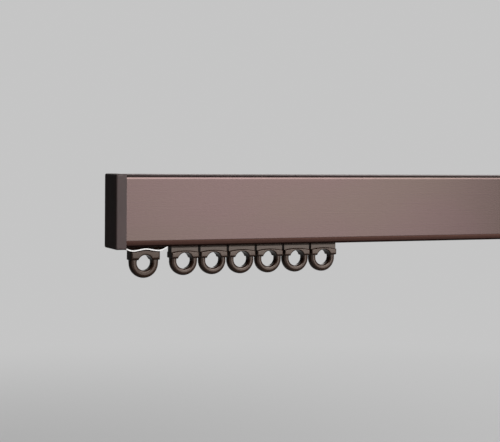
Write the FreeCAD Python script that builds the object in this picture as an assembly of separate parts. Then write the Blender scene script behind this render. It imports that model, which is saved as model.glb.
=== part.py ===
import FreeCAD, Part
import math
import os

os.makedirs("parts", exist_ok=True)

# Curtain track: an extruded aluminium rail with a capped end at each side, a fixed end stop with a ring eye beside
# each cap, and a row of rollered runners with ring eyes, pushed together at the left end.
# Millimetres. +X runs along the rail to the right, +Y goes away from the room, +Z is up.
# The origin is in the middle of the rail's top face, at the mouth of the channel that its brackets grip.

# Rail
track_length = 320.0
rail_height = 33.0
side_wall = 1.5
top_flange = 1.4
bracket_slot_width = 8.0
bracket_channel_height = 5.0
web_thickness = 1.2
bottom_flange = 1.6
front_nose_radius = 2.4
back_corner_radius = 0.6
channel_corner_radius = 0.5
lip_height = 3.0
lip_step = 0.45
lip_lean = 1.25
lip_bulge = 0.22

# End caps
cap_thickness = 5.0
cap_proud_side = 0.15
cap_proud_top = 0.15
cap_proud_bottom = 1.05
cap_edge_radius = 0.8
plug_length = 9.0
plug_wall = 1.4
plug_clearance = 0.25
crush_rib_width = 1.0

# Ring eyes of the runners: the hole, and a body with upright flanks whose round bottom sits lower than the hole
eye_hole_radius = 3.8
eye_band = 2.9
eye_sag = 0.25
eye_drop = 7.15
eye_thickness = 4.4
eye_inner_round = 0.8
eye_outer_round = 1.6

# Saddle over each eye, neck through the rail's slot, carriage in the rail
saddle_shoulder = 0.1
saddle_proud = 1.2
saddle_end_drop = 3.2
saddle_crown_drop = 2.4
saddle_foot_drop = 6.1
saddle_lobe_radius = 0.8
saddle_edge_radius = 0.7
saddle_foot_radius = 1.0
saddle_bore_round = 0.5
neck_cover = 0.1
neck_slot_gap = 0.7
carriage_lap = 0.2
carriage_overreach = 0.3
carriage_headroom = 0.5
carriage_floor_gap = 0.25
carriage_top_radius = 3.4
carriage_bottom_radius = 0.8
runner_count = 6
runner_gap = 0.3

# Rollers and axles
roller_radius = 4.8
roller_width = 2.8
roller_side_gap = 0.3
roller_wall_gap = 0.5
roller_running_gap = 0.1
roller_headroom = 1.3
roller_hub_radius = 2.2
roller_rim_wall = 1.1
roller_recess_depth = 1.1
roller_edge_round = 0.4
axle_radius = 1.0
axle_end_proud = 0.2
axle_end_chamfer = 0.2
axle_running_clearance = 0.05
axle_press_clearance = 0.01

# End stops
stop_eye_hole_radius = 3.65
stop_eye_band = 3.25
stop_eye_sag = 0.27
stop_eye_drop = 7.65
stop_eye_edge_round = 1.3
stop_shoulder = 0.25
stop_saddle_foot_drop = 6.4
stop_saddle_foot_radius = 1.2
stop_block_overreach = 3.25
stop_block_gap = 0.7
stop_head_gap = 0.3
stop_head_overreach = 1.8
stop_head_headroom = 3.0
stop_head_side_gap = 0.35
stop_head_top_radius = 1.5
stop_head_bottom_radius = 0.5
stop_post_length = 7.0
stop_post_width = 2.6

# Wave spring of each end stop
spring_thickness = 0.6
spring_lap = 1.3
spring_end_run = 4.3
spring_end_drop = 0.5
spring_valley_drop = 2.0
spring_crown_drop = 1.2
spring_seat_gap = 0.05
spring_post_gap = 0.2

# Widths across the rail, from the eye outwards to the rail's faces
neck_width = eye_thickness + 2 * neck_cover
saddle_width = neck_width + 2 * saddle_proud
runner_slot_width = neck_width + 2 * neck_slot_gap
carriage_width = runner_slot_width + 2 * carriage_lap
roller_inner_face = carriage_width / 2 + roller_side_gap
roller_outer_face = roller_inner_face + roller_width
axle_half_length = roller_outer_face + axle_end_proud
inner_half = axle_half_length + roller_wall_gap
half_depth = inner_half + side_wall
spring_width = neck_width + 2 * spring_lap

# Levels, from the rail's top face at zero downwards
rail_bottom = -rail_height
bracket_channel_floor = -top_flange - bracket_channel_height
chamber_top = bracket_channel_floor - web_thickness
flange_top = rail_bottom + bottom_flange
axle_level = flange_top + roller_running_gap + roller_radius
runner_channel_roof = axle_level + roller_radius + roller_headroom
chamber_floor = runner_channel_roof + web_thickness
carriage_floor = flange_top + carriage_floor_gap
carriage_roof = runner_channel_roof - carriage_headroom
eye_level = rail_bottom - eye_drop
stop_eye_level = rail_bottom - stop_eye_drop

# Lengths and places along the rail, from its left end
half_length = track_length / 2
rail_cut_length = track_length - 2 * cap_thickness
eye_outer_radius = eye_hole_radius + eye_band
saddle_length = 2 * (eye_outer_radius + saddle_shoulder)
carriage_length = saddle_length + 2 * carriage_overreach
runner_pitch = carriage_length + runner_gap
stop_eye_outer_radius = stop_eye_hole_radius + stop_eye_band
stop_saddle_length = 2 * (stop_eye_outer_radius + stop_shoulder)
stop_block_length = stop_saddle_length + 2 * stop_block_overreach
stop_eye_x = -half_length + cap_thickness + stop_block_gap + stop_block_length / 2
stop_head_start = -half_length + cap_thickness + stop_head_gap
stop_head_end = stop_eye_x + stop_block_length / 2 + stop_head_overreach
first_runner_x = stop_head_end + runner_gap + carriage_length / 2


def at(x, y, z):
    """A point in the track's own frame."""
    return FreeCAD.Vector(x, y, z)


def line(a, b):
    """A straight edge."""
    return Part.LineSegment(a, b).toShape()


def arc(a, middle, b):
    """A round edge through three points."""
    return Part.Arc(a, middle, b).toShape()


def face_of(edges):
    """A flat face inside a closed run of edges."""
    return Part.Face(Part.Wire(Part.__sortEdges__(edges)))


def polygon(points):
    """A flat face with straight sides."""
    return Part.Face(Part.makePolygon(points + points[:1]))


def rounded_rectangle(low_u, high_u, low_v, high_v, low_round, high_round, place):
    """A face with round corners: low_round at its low side, high_round at its high side."""
    corners = (
        (low_u, low_v, 1, 1, low_round),
        (high_u, low_v, -1, 1, low_round),
        (high_u, high_v, -1, -1, high_round),
        (low_u, high_v, 1, -1, high_round),
    )
    ends = []
    edges = []
    for index, (u, v, to_u, to_v, radius) in enumerate(corners):
        on_v_side = (u, v + to_v * radius)
        on_u_side = (u + to_u * radius, v)
        slack = radius * (1 - math.sqrt(0.5))
        middle = (u + to_u * slack, v + to_v * slack)
        first, last = (on_v_side, on_u_side) if index % 2 == 0 else (on_u_side, on_v_side)
        edges.append(arc(place(*first), place(*middle), place(*last)))
        ends.append((first, last))
    for index, (first, last) in enumerate(ends):
        following = ends[(index + 1) % len(ends)][0]
        edges.append(line(place(*last), place(*following)))
    return face_of(edges)


def across(x):
    """Places a profile that is drawn across the rail at the given x."""
    return lambda y, z: at(x, y, z)


def along(y):
    """Places a profile that is drawn along the rail at the given y."""
    return lambda x, z: at(x, y, z)


def thicken(face, width):
    """Extrudes a profile that stands at y = -width / 2 to a slab centred on the rail's middle plane."""
    return face.extrude(at(0, width, 0))


def mirrored(shape):
    """The same piece at the right end of the track."""
    return shape.mirror(at(0, 0, 0), at(1, 0, 0))


def front_and_back_edges(solid, half_width):
    """The edges that lie wholly in a slab's front or back face."""
    return [edge for edge in solid.Edges
            if all(abs(abs(vertex.Y) - half_width) < 1e-6 for vertex in edge.Vertexes)
            and abs(abs(edge.CenterOfMass.y) - half_width) < 1e-6]


def rail_outline(x):
    """The rail's outer outline: round front nose at the top, leaning lip set back under the front face."""
    nose = front_nose_radius
    slack = nose * (1 - math.sqrt(0.5))
    lip_top = rail_bottom + lip_height
    lip_start = -half_depth + lip_step
    lip_foot = lip_start + lip_lean
    lip_middle = (lip_start + lip_foot) / 2
    corner = back_corner_radius
    corner_slack = corner * (1 - math.sqrt(0.5))
    p = across(x)
    return face_of([
        line(p(half_depth - corner, 0), p(-half_depth + nose, 0)),
        arc(p(-half_depth + nose, 0), p(-half_depth + slack, -slack), p(-half_depth, -nose)),
        line(p(-half_depth, -nose), p(-half_depth, lip_top)),
        line(p(-half_depth, lip_top), p(lip_start, lip_top)),
        arc(p(lip_start, lip_top), p(lip_middle - lip_bulge, rail_bottom + lip_height / 2), p(lip_foot, rail_bottom)),
        line(p(lip_foot, rail_bottom), p(half_depth - corner, rail_bottom)),
        arc(p(half_depth - corner, rail_bottom), p(half_depth - corner_slack, rail_bottom + corner_slack),
            p(half_depth, rail_bottom + corner)),
        line(p(half_depth, rail_bottom + corner), p(half_depth, -corner)),
        arc(p(half_depth, -corner), p(half_depth - corner_slack, -corner_slack), p(half_depth - corner, 0)),
    ])


def rail():
    """The extrusion: bracket channel on top, closed chamber, runner channel with its slot below."""
    start = -rail_cut_length / 2
    p = across(start)
    round_in = channel_corner_radius
    bracket_channel = rounded_rectangle(-inner_half, inner_half, bracket_channel_floor, -top_flange,
                                        round_in, round_in, p)
    half_bracket_slot = bracket_slot_width / 2
    bracket_mouth = polygon([p(-half_bracket_slot, -top_flange - round_in), p(half_bracket_slot, -top_flange - round_in),
                             p(half_bracket_slot, 1), p(-half_bracket_slot, 1)])
    chamber = rounded_rectangle(-inner_half, inner_half, chamber_floor, chamber_top, round_in, round_in, p)
    runner_channel = rounded_rectangle(-inner_half, inner_half, flange_top, runner_channel_roof,
                                       round_in, round_in, p)
    half_runner_slot = runner_slot_width / 2
    runner_mouth = polygon([p(-half_runner_slot, rail_bottom - 1), p(half_runner_slot, rail_bottom - 1),
                            p(half_runner_slot, flange_top + round_in), p(-half_runner_slot, flange_top + round_in)])
    section = rail_outline(start)
    section = section.cut([bracket_channel, bracket_mouth, chamber, runner_channel, runner_mouth])
    return section.Faces[0].extrude(at(rail_cut_length, 0, 0))


def end_cap():
    """The left cap: a moulded plate over the rail's cut end, with a hollow plug that grips the rail's chamber."""
    outer = -half_length
    inner = outer + cap_thickness
    half_plate = half_depth + cap_proud_side
    low = rail_bottom - cap_proud_bottom
    plate = Part.makeBox(cap_thickness, 2 * half_plate, cap_proud_top - low, at(outer, -half_plate, low))
    outside_edges = [edge for edge in plate.Edges if edge.CenterOfMass.x < inner - 1e-6]
    plate = plate.makeFillet(cap_edge_radius, outside_edges)
    half_plug = inner_half - plug_clearance
    plug_low = chamber_floor + plug_clearance
    plug_high = chamber_top - plug_clearance
    p = across(inner)
    round_out = channel_corner_radius
    plug = rounded_rectangle(-half_plug, half_plug, plug_low, plug_high, round_out, round_out, p)
    core = rounded_rectangle(-half_plug + plug_wall, half_plug - plug_wall, plug_low + plug_wall,
                             plug_high - plug_wall, round_out, round_out, p)
    cap = plate.fuse(plug.cut(core).extrude(at(plug_length, 0, 0)))
    middle = (plug_low + plug_high) / 2
    for side in (-1, 1):
        rib_y = inner_half if side > 0 else -inner_half
        rib = polygon([p(rib_y, middle), p(rib_y - side * 2 * plug_clearance, middle + crush_rib_width / 2),
                       p(rib_y - side * 2 * plug_clearance, middle - crush_rib_width / 2)])
        cap = cap.fuse(rib.extrude(at(plug_length, 0, 0)))
        rib_z = chamber_top if side > 0 else chamber_floor
        for y in (-half_plug / 2, half_plug / 2):
            rib = polygon([p(y, rib_z), p(y + crush_rib_width / 2, rib_z - side * 2 * plug_clearance),
                           p(y - crush_rib_width / 2, rib_z - side * 2 * plug_clearance)])
            cap = cap.fuse(rib.extrude(at(plug_length, 0, 0)))
    return cap.removeSplitter()


def eye_body(x, top, half_top, level, radius, edge_round):
    """The outer body of a ring eye: straight flanks that close in on a round bottom, with rounded rims."""
    rise = top - level
    touch = math.atan2(rise, half_top) - math.acos(radius / math.hypot(half_top, rise))
    side_x = radius * math.cos(touch)
    side_z = level + radius * math.sin(touch)

    def p(dx, z):
        return at(x + dx, -eye_thickness / 2, z)

    outline = face_of([
        line(p(-half_top, top), p(half_top, top)),
        line(p(half_top, top), p(side_x, side_z)),
        arc(p(side_x, side_z), p(0, level - radius), p(-side_x, side_z)),
        line(p(-side_x, side_z), p(-half_top, top)),
    ])
    slab = thicken(outline, eye_thickness)
    rims = [edge for edge in front_and_back_edges(slab, eye_thickness / 2) if edge.CenterOfMass.z < top - 1e-6]
    return slab.makeFillet(edge_round, rims)


def flared_bore(x, level, radius, width, flare):
    """The space of a bore through a form of this width, flared to both sides."""
    half = width / 2
    far = half + 1
    slack = flare * (1 - math.sqrt(0.5))
    wide = radius + flare
    narrow = half - flare

    def p(reach, y):
        return at(x + reach, y, level)

    section = face_of([
        line(p(0, -far), p(wide, -far)),
        line(p(wide, -far), p(wide, -half)),
        arc(p(wide, -half), p(radius + slack, -half + slack), p(radius, -narrow)),
        line(p(radius, -narrow), p(radius, narrow)),
        arc(p(radius, narrow), p(radius + slack, half - slack), p(wide, half)),
        line(p(wide, half), p(wide, far)),
        line(p(wide, far), p(0, far)),
        line(p(0, far), p(0, -far)),
    ])
    return section.revolve(at(x, 0, level), at(0, 1, 0), 360)


def saddle(x):
    """The bowed band over a runner's eye, with round edges along its top and foot and round lobes at its ends."""
    half = saddle_length / 2
    half_width = saddle_width / 2
    foot = rail_bottom - saddle_foot_drop
    crown = rail_bottom - saddle_crown_drop
    sagitta = saddle_end_drop - saddle_crown_drop
    bow = (half ** 2 + sagitta ** 2) / (2 * sagitta)
    bow_centre = at(x, 0, crown - bow)
    swing = math.degrees(math.asin(half / bow)) + 1
    edge = saddle_edge_radius
    bowed = rounded_rectangle(-half_width, half_width, foot - saddle_foot_drop, crown, edge, edge, across(x))
    bowed = bowed.rotated(bow_centre, at(0, 1, 0), -swing).revolve(bow_centre, at(0, 1, 0), 2 * swing)
    level_bar = rounded_rectangle(-half_width, half_width, foot, rail_bottom, saddle_foot_radius, edge,
                                  across(x - half))
    level_bar = level_bar.extrude(at(saddle_length, 0, 0))
    lobed = thicken(rounded_rectangle(x - half, x + half, foot, rail_bottom, saddle_lobe_radius, edge,
                                      along(-saddle_width)), 2 * saddle_width)
    return bowed.common(level_bar).common(lobed)


def runner_body(x):
    """One moulded runner: carriage in the rail, neck through the slot, saddle and ring eye below."""
    carriage = thicken(rounded_rectangle(x - carriage_length / 2, x + carriage_length / 2, carriage_floor,
                                         carriage_roof, carriage_bottom_radius, carriage_top_radius,
                                         along(-carriage_width / 2)), carriage_width)
    neck_foot = rail_bottom - saddle_end_drop
    neck = Part.makeBox(saddle_length, neck_width, carriage_floor + carriage_bottom_radius - neck_foot,
                        at(x - saddle_length / 2, -neck_width / 2, neck_foot))
    eye_top = rail_bottom - saddle_foot_drop + saddle_lobe_radius
    eye = eye_body(x, eye_top, eye_outer_radius, eye_level - eye_sag, eye_outer_radius, eye_outer_round)
    eye = eye.cut(flared_bore(x, eye_level, eye_hole_radius, eye_thickness, eye_inner_round))
    body = carriage.fuse([neck, saddle(x), eye])
    body = body.cut(flared_bore(x, eye_level, eye_hole_radius, saddle_width, saddle_bore_round))
    axle_bore = Part.makeCylinder(axle_radius + axle_running_clearance, carriage_width + 2,
                                  at(x, -carriage_width / 2 - 1, axle_level), at(0, 1, 0))
    return body.cut(axle_bore).removeSplitter()


def roller(x, side):
    """A roller with hub, recessed web and rounded rim, turned about the axle. side is -1 in front, 1 behind."""
    bore = axle_radius + axle_press_clearance
    rim_inner = roller_radius - roller_rim_wall
    edge = roller_edge_round
    slack = edge * (1 - math.sqrt(0.5))
    near = roller_inner_face
    far = roller_outer_face
    web_face = far - roller_recess_depth

    def p(radius, y):
        return at(x + radius, side * y, axle_level)

    section = face_of([
        line(p(bore, near), p(roller_radius - edge, near)),
        arc(p(roller_radius - edge, near), p(roller_radius - slack, near + slack), p(roller_radius, near + edge)),
        line(p(roller_radius, near + edge), p(roller_radius, far - edge)),
        arc(p(roller_radius, far - edge), p(roller_radius - slack, far - slack), p(roller_radius - edge, far)),
        line(p(roller_radius - edge, far), p(rim_inner, far)),
        line(p(rim_inner, far), p(rim_inner, web_face)),
        line(p(rim_inner, web_face), p(roller_hub_radius, web_face)),
        line(p(roller_hub_radius, web_face), p(roller_hub_radius, far)),
        line(p(roller_hub_radius, far), p(bore, far)),
        line(p(bore, far), p(bore, near)),
    ])
    return section.revolve(at(x, 0, axle_level), at(0, 1, 0), 360)


def axle(x):
    """The steel pin that carries both rollers and turns in the carriage, with chamfered ends."""
    half = axle_half_length

    def p(radius, y):
        return at(x + radius, y, axle_level)

    section = polygon([
        p(0, -half),
        p(axle_radius - axle_end_chamfer, -half),
        p(axle_radius, -half + axle_end_chamfer),
        p(axle_radius, half - axle_end_chamfer),
        p(axle_radius - axle_end_chamfer, half),
        p(0, half),
    ])
    return section.revolve(at(x, 0, axle_level), at(0, 1, 0), 360)


def wave(shift, y):
    """The end stop's wave line, seen from the front and moved up by shift: high ends, two valleys, a low crown."""
    half = stop_block_length / 2
    valley = half - spring_end_run
    knots = [
        (-half, spring_end_drop),
        (-valley, spring_valley_drop),
        (0, spring_crown_drop),
        (valley, spring_valley_drop),
        (half, spring_end_drop),
    ]
    curve = Part.BSplineCurve()
    curve.interpolate([at(stop_eye_x + dx, y, rail_bottom - drop + shift) for dx, drop in knots])
    return curve.toShape()


def wave_slab(upper_shift, lower_shift, width):
    """The slab between two copies of the wave line."""
    upper = wave(upper_shift, -width / 2)
    lower = wave(lower_shift, -width / 2)
    ends = [line(upper.Vertexes[i].Point, lower.Vertexes[i].Point) for i in (0, 1)]
    return thicken(face_of([upper, lower] + ends), width)


def stop_spring():
    """The left stop's wave spring: a thin steel strip with a window for the stop's post."""
    strip = wave_slab(spring_thickness / 2, -spring_thickness / 2, spring_width)
    window_length = stop_post_length + 2 * spring_post_gap
    window_width = stop_post_width + 2 * spring_post_gap
    window = Part.makeBox(window_length, window_width, rail_height,
                          at(stop_eye_x - window_length / 2, -window_width / 2, rail_bottom - rail_height / 2))
    return strip.cut(window)


def stop_body():
    """The left end stop: a head on the rail's flanges, a wavy block and post, then a saddle and a fixed eye."""
    head_half = inner_half - stop_head_side_gap
    head = thicken(rounded_rectangle(stop_head_start, stop_head_end, flange_top,
                                     runner_channel_roof - stop_head_headroom, stop_head_bottom_radius,
                                     stop_head_top_radius, along(-head_half)), 2 * head_half)
    foot = rail_bottom - stop_saddle_foot_drop
    block = Part.makeBox(stop_block_length, neck_width, flange_top + stop_head_bottom_radius - foot,
                         at(stop_eye_x - stop_block_length / 2, -neck_width / 2, foot))
    seat_shift = spring_thickness / 2 + spring_seat_gap
    below_block = wave_slab(seat_shift, -rail_height, 2 * spring_width)
    above_saddle = wave_slab(rail_height, -seat_shift, 2 * spring_width)
    band = rounded_rectangle(-saddle_width / 2, saddle_width / 2, foot, rail_bottom, stop_saddle_foot_radius,
                             stop_saddle_foot_radius, across(stop_eye_x - stop_saddle_length / 2))
    band = band.extrude(at(stop_saddle_length, 0, 0))
    post = Part.makeBox(stop_post_length, stop_post_width, flange_top - foot,
                        at(stop_eye_x - stop_post_length / 2, -stop_post_width / 2, foot))
    eye = eye_body(stop_eye_x, foot, stop_saddle_length / 2, stop_eye_level - stop_eye_sag,
                   stop_eye_outer_radius, stop_eye_edge_round)
    eye = eye.cut(flared_bore(stop_eye_x, stop_eye_level, stop_eye_hole_radius, eye_thickness, eye_inner_round))
    body = head.fuse([block.cut(below_block), post, band.cut(above_saddle), eye])
    opening = flared_bore(stop_eye_x, stop_eye_level, stop_eye_hole_radius, saddle_width, saddle_bore_round)
    return body.cut(opening).removeSplitter()


def export(shape, name):
    """Writes one piece after checking that it is a single sound solid."""
    solids = shape.Solids
    if len(solids) != 1 or not solids[0].isValid():
        raise ValueError(name + " is not one valid solid")
    solids[0].exportStep("parts/" + name + ".step")


export(rail(), "rail")
cap = end_cap()
export(cap, "end_cap_left")
export(mirrored(cap), "end_cap_right")
stop = stop_body()
export(stop, "stop_left")
export(mirrored(stop), "stop_right")
spring = stop_spring()
export(spring, "stop_spring_left")
export(mirrored(spring), "stop_spring_right")
runner_pieces = {
    "body": runner_body(0),
    "axle": axle(0),
    "roller_front": roller(0, -1),
    "roller_rear": roller(0, 1),
}
for index in range(runner_count):
    place = at(first_runner_x + index * runner_pitch, 0, 0)
    for piece_name, piece in runner_pieces.items():
        export(piece.translated(place), "runner_" + str(index + 1) + "_" + piece_name)
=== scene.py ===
import logging
import math
from dataclasses import dataclass, field, replace
from enum import Enum
from typing import Callable, Iterable

import bmesh
import bpy
from mathutils import Matrix, Vector


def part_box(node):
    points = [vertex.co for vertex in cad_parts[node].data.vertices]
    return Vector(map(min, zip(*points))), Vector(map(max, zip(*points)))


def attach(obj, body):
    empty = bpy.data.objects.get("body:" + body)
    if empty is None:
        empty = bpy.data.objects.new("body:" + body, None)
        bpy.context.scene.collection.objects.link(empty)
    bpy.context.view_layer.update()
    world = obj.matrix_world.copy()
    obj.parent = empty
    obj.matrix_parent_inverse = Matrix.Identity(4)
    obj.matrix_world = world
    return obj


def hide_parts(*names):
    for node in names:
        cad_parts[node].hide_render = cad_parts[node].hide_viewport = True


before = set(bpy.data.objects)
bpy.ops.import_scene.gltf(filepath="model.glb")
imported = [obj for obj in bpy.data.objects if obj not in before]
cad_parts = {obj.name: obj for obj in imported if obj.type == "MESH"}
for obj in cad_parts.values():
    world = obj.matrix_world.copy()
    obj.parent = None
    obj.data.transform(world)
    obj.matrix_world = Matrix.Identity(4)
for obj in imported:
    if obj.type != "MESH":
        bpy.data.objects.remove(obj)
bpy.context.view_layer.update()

# A curtain track: an aluminium rail with capped ends, an end stop with a wave spring and a ring eye at each
# end, and six rollered runners with ring eyes. Shapes are drawn in millimetres and written in metres, in the
# track's own frame: +X along the rail to the right, +Y away from the room, +Z up, the origin in the middle of
# the rail's top face.

MM = 0.001
WHITE = (1.0, 1.0, 1.0, 1.0)
log = logging.getLogger("curtain_track")

# In millimetres: how near two places count as one when they are looked for and when they are merged, and how
# far a cutter reaches past what it cuts.
TOUCH = 0.01
SAME = 0.00001
PAST = 1.0

# The angle in degrees up to which two faces count as one flat, and the range that holds most of a noise.
FLAT_BEND = 0.05
NOISE_RANGE = (0.3, 0.7)

Piece = bpy.types.Object
Material = bpy.types.Material
Tree = bpy.types.NodeTree
Node = bpy.types.Node
Socket = bpy.types.NodeSocket
Edge = bmesh.types.BMEdge
Face = bmesh.types.BMFace
Point = Iterable[float]
Span = tuple[float, float]
Colour = tuple[float, float, float]


class End(Enum):
    """The two ends of the track, with the sign of X there."""

    LEFT = -1
    RIGHT = 1

    @property
    def label(self) -> str:
        """The word that the pieces at this end carry in their names."""
        return self.name.lower()


class Join(Enum):
    """How one solid is joined to another."""

    ADD = "UNION"
    CUT = "DIFFERENCE"
    COMMON = "INTERSECT"


class Slot(Enum):
    """The record's material slots."""

    RAIL = "anodised_rail"
    CAP = "cap_plastic"
    RUNNER = "runner_plastic"
    ROLLER = "roller_plastic"
    SPRING = "spring_steel"
    AXLE = "axle_steel"


def box_mm(node: str) -> tuple[Vector, Vector]:
    """The lowest and highest corner of a CAD node.

    Args:
        node: the node's name.

    Returns:
        The two corners in millimetres.
    """
    low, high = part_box(node)
    return Vector(low) / MM, Vector(high) / MM


class Draft:
    """A solid in the making, in millimetres, with the moves that the track's pieces share."""

    def __init__(self) -> None:
        """Starts with nothing."""
        self.bm = bmesh.new()

    def block(self, low: Point, high: Point) -> None:
        """Adds a box between its lowest and its highest corner.

        Args:
            low: the lowest corner.
            high: the highest corner.
        """
        low, high = Vector(low), Vector(high)
        matrix = Matrix.Translation((low + high) / 2) @ Matrix.Diagonal((*(high - low), 1))
        bmesh.ops.create_cube(self.bm, size=1, matrix=matrix)

    def rectangle_across(self, x: float, low_y: float, high_y: float, low_z: float, high_z: float) -> None:
        """Adds one flat face that stands across the rail at x."""
        corners = ((low_y, low_z), (high_y, low_z), (high_y, high_z), (low_y, high_z))
        self.bm.faces.new([self.bm.verts.new((x, y, z)) for y, z in corners])

    def score(self, place: Point, normal: Point, faces: list[Face] | None = None) -> None:
        """Scores faces along a plane without taking anything away.

        Args:
            place: a point of the plane.
            normal: the plane's direction.
            faces: the faces to score, or None for all.
        """
        chosen = self.bm.faces[:] if faces is None else faces
        edges = {edge for face in chosen for edge in face.edges}
        verts = {vert for face in chosen for vert in face.verts}
        bmesh.ops.bisect_plane(self.bm, geom=[*verts, *edges, *chosen], dist=SAME, plane_co=place,
                               plane_no=normal)

    def score_in_columns(self, start: float, end: float, count: int) -> None:
        """Scores everything across X into equal columns from start to end."""
        for step in range(1, count):
            self.score((start + (end - start) * step / count, 0, 0), (1, 0, 0))

    def drop_faces(self, test: Callable[[Vector], bool]) -> None:
        """Deletes the faces whose middle passes the test."""
        doomed = [face for face in self.bm.faces if test(face.calc_center_median())]
        bmesh.ops.delete(self.bm, geom=doomed, context="FACES")

    def extrude_all(self, travel: Point) -> None:
        """Pulls every flat face into a solid along travel.

        Args:
            travel: how far and which way.
        """
        made = bmesh.ops.extrude_face_region(self.bm, geom=self.bm.faces[:])["geom"]
        verts = [item for item in made if isinstance(item, bmesh.types.BMVert)]
        bmesh.ops.translate(self.bm, vec=Vector(travel), verts=verts)
        bmesh.ops.recalc_face_normals(self.bm, faces=self.bm.faces[:])

    def merge_flats(self) -> None:
        """Joins faces that lie in one plane."""
        bmesh.ops.dissolve_limit(self.bm, angle_limit=math.radians(FLAT_BEND), verts=self.bm.verts[:],
                                 edges=self.bm.edges[:])

    def edges(self, test: Callable[[Vector, Vector], bool], bend: float = 10.0) -> list[Edge]:
        """Finds edges by their two ends.

        Args:
            test: says whether an edge with these two ends is wanted.
            bend: the least angle in degrees between the edge's two faces.

        Returns:
            The edges found.
        """
        return [edge for edge in self.bm.edges
                if len(edge.link_faces) == 2 and edge.calc_face_angle(0) > math.radians(bend)
                and test(edge.verts[0].co, edge.verts[1].co)]

    def edges_along(self, axis: str, **at: float) -> list[Edge]:
        """Finds edges that run along an axis.

        Args:
            axis: x, y or z.
            at: where the edges lie on other axes, such as z=3.

        Returns:
            The edges found.
        """
        def wanted(a: Vector, b: Vector) -> bool:
            """Whether an edge with these ends is one of them."""
            level = all(abs(getattr(v, other) - value) < TOUCH for v in (a, b) for other, value in at.items())
            return level and abs(getattr(a, axis) - getattr(b, axis)) > TOUCH

        return self.edges(wanted)

    def round_edges(self, edges: list[Edge], radius: float, segments: int) -> None:
        """Rounds edges to a radius."""
        bmesh.ops.bevel(self.bm, geom=edges, offset=radius, offset_type="OFFSET", segments=segments,
                        profile=0.5, affect="EDGES", clamp_overlap=True, material=-1)

    def spin_outline(self, outline: list[tuple[float, float]], centre: Vector, steps: int) -> None:
        """Turns an open outline about an axis along Y into a closed solid.

        Args:
            outline: (radius, y) pairs that start and end on the axis.
            centre: a point of the axis.
            steps: how many steps the full turn has.
        """
        verts = [self.bm.verts.new((centre.x + radius, y, centre.z)) for radius, y in outline]
        edges = [self.bm.edges.new(pair) for pair in zip(verts, verts[1:])]
        bmesh.ops.spin(self.bm, geom=[*verts, *edges], cent=(centre.x, 0, centre.z), axis=(0, 1, 0),
                       dvec=(0, 0, 0), angle=math.tau, steps=steps, use_merge=True)
        bmesh.ops.remove_doubles(self.bm, verts=self.bm.verts[:], dist=SAME)
        bmesh.ops.recalc_face_normals(self.bm, faces=self.bm.faces[:])

    def write(self, name: str) -> Piece:
        """Writes the solid as an object at the origin, in metres, and frees the draft.

        Args:
            name: the object's name.

        Returns:
            The object.
        """
        bmesh.ops.scale(self.bm, vec=(MM, MM, MM), verts=self.bm.verts[:])
        mesh = bpy.data.meshes.new(name)
        self.bm.to_mesh(mesh)
        self.bm.free()
        return add_object(name, mesh)


def add_object(name: str, data: bpy.types.ID) -> Piece:
    """Adds an object with this name and data to the scene.

    Args:
        name: the object's name.
        data: its mesh, lamp or camera.

    Returns:
        The object.
    """
    made = bpy.data.objects.new(name, data)
    bpy.context.scene.collection.objects.link(made)
    return made


def discard(piece: Piece) -> None:
    """Removes an object with its mesh.

    Args:
        piece: the object.
    """
    spent = piece.data
    bpy.data.objects.remove(piece)
    bpy.data.meshes.remove(spent)


def join(base: Piece, other: Piece, how: Join) -> None:
    """Adds one object's solid to another's, cuts it away or keeps what they share, and removes it.

    Args:
        base: the object that is kept.
        other: the object that is used up.
        how: whether it is added, cut or shared.
    """
    modifier = base.modifiers.new("join", "BOOLEAN")
    modifier.operation = how.value
    modifier.solver = "EXACT"
    modifier.object = other
    bpy.context.view_layer.update()
    made = bpy.data.meshes.new_from_object(base.evaluated_get(bpy.context.evaluated_depsgraph_get()))
    base.modifiers.clear()
    old = base.data
    base.data = made
    made.name = base.name
    bpy.data.meshes.remove(old)
    discard(other)


def round_uprights(piece: Piece, low: Point, high: Point, radius: float) -> None:
    """Rounds a piece's upright edges, by keeping what lies within a block with round uprights.

    Args:
        piece: the object.
        low: the block's lowest corner.
        high: the block's highest corner.
        radius: the radius of the block's upright edges.
    """
    block = Draft()
    block.block(low, high)
    block.round_edges(block.edges_along("z"), radius, segments=6)
    join(piece, block.write("round_block"), Join.COMMON)


@dataclass(frozen=True)
class Band:
    """A saddle's band: a block along the rail with rounded edges, whose top follows a line.

    The seam keeps what touches the band's ends and sides a little away from their faces.
    """

    length: float
    width: float
    top_edge: float
    foot_edge: float
    end_edge: float
    columns: int
    seam: float = 0.03

    @property
    def inner_half(self) -> float:
        """Half the length of what joins the band a little within its ends."""
        return self.length / 2 - self.seam

    def lay(self, name: str, x: float, foot: float, crown: float, rise: Callable[[float], float]) -> Piece:
        """Builds the band with square ends.

        Args:
            name: the object's name.
            x: the band's middle along the rail.
            foot: the level of its foot.
            crown: the level of its top before that is moved.
            rise: how far the top moves up at a place along the rail.

        Returns:
            The band as an object.
        """
        half, side = self.length / 2, self.width / 2
        draft = Draft()
        draft.block((x - half, -side, foot), (x + half, side, crown))
        draft.round_edges(draft.edges_along("x", z=foot), self.foot_edge, segments=6)
        draft.round_edges(draft.edges_along("x", z=crown), self.top_edge, segments=5)
        draft.score_in_columns(x - half, x + half, self.columns)
        for vert in draft.bm.verts:
            if vert.co.z > crown - self.top_edge - TOUCH:
                vert.co.z += rise(vert.co.x)
        return draft.write(name)

    def round_ends(self, band: Piece, x: float, foot: float, crown: float) -> None:
        """Rounds the upright edges at the ends of a band that was laid at these places."""
        half, side = self.length / 2 + self.seam, self.width / 2 + self.seam
        round_uprights(band, (x - half, -side, foot - PAST), (x + half, side, crown + PAST), self.end_edge)


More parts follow.
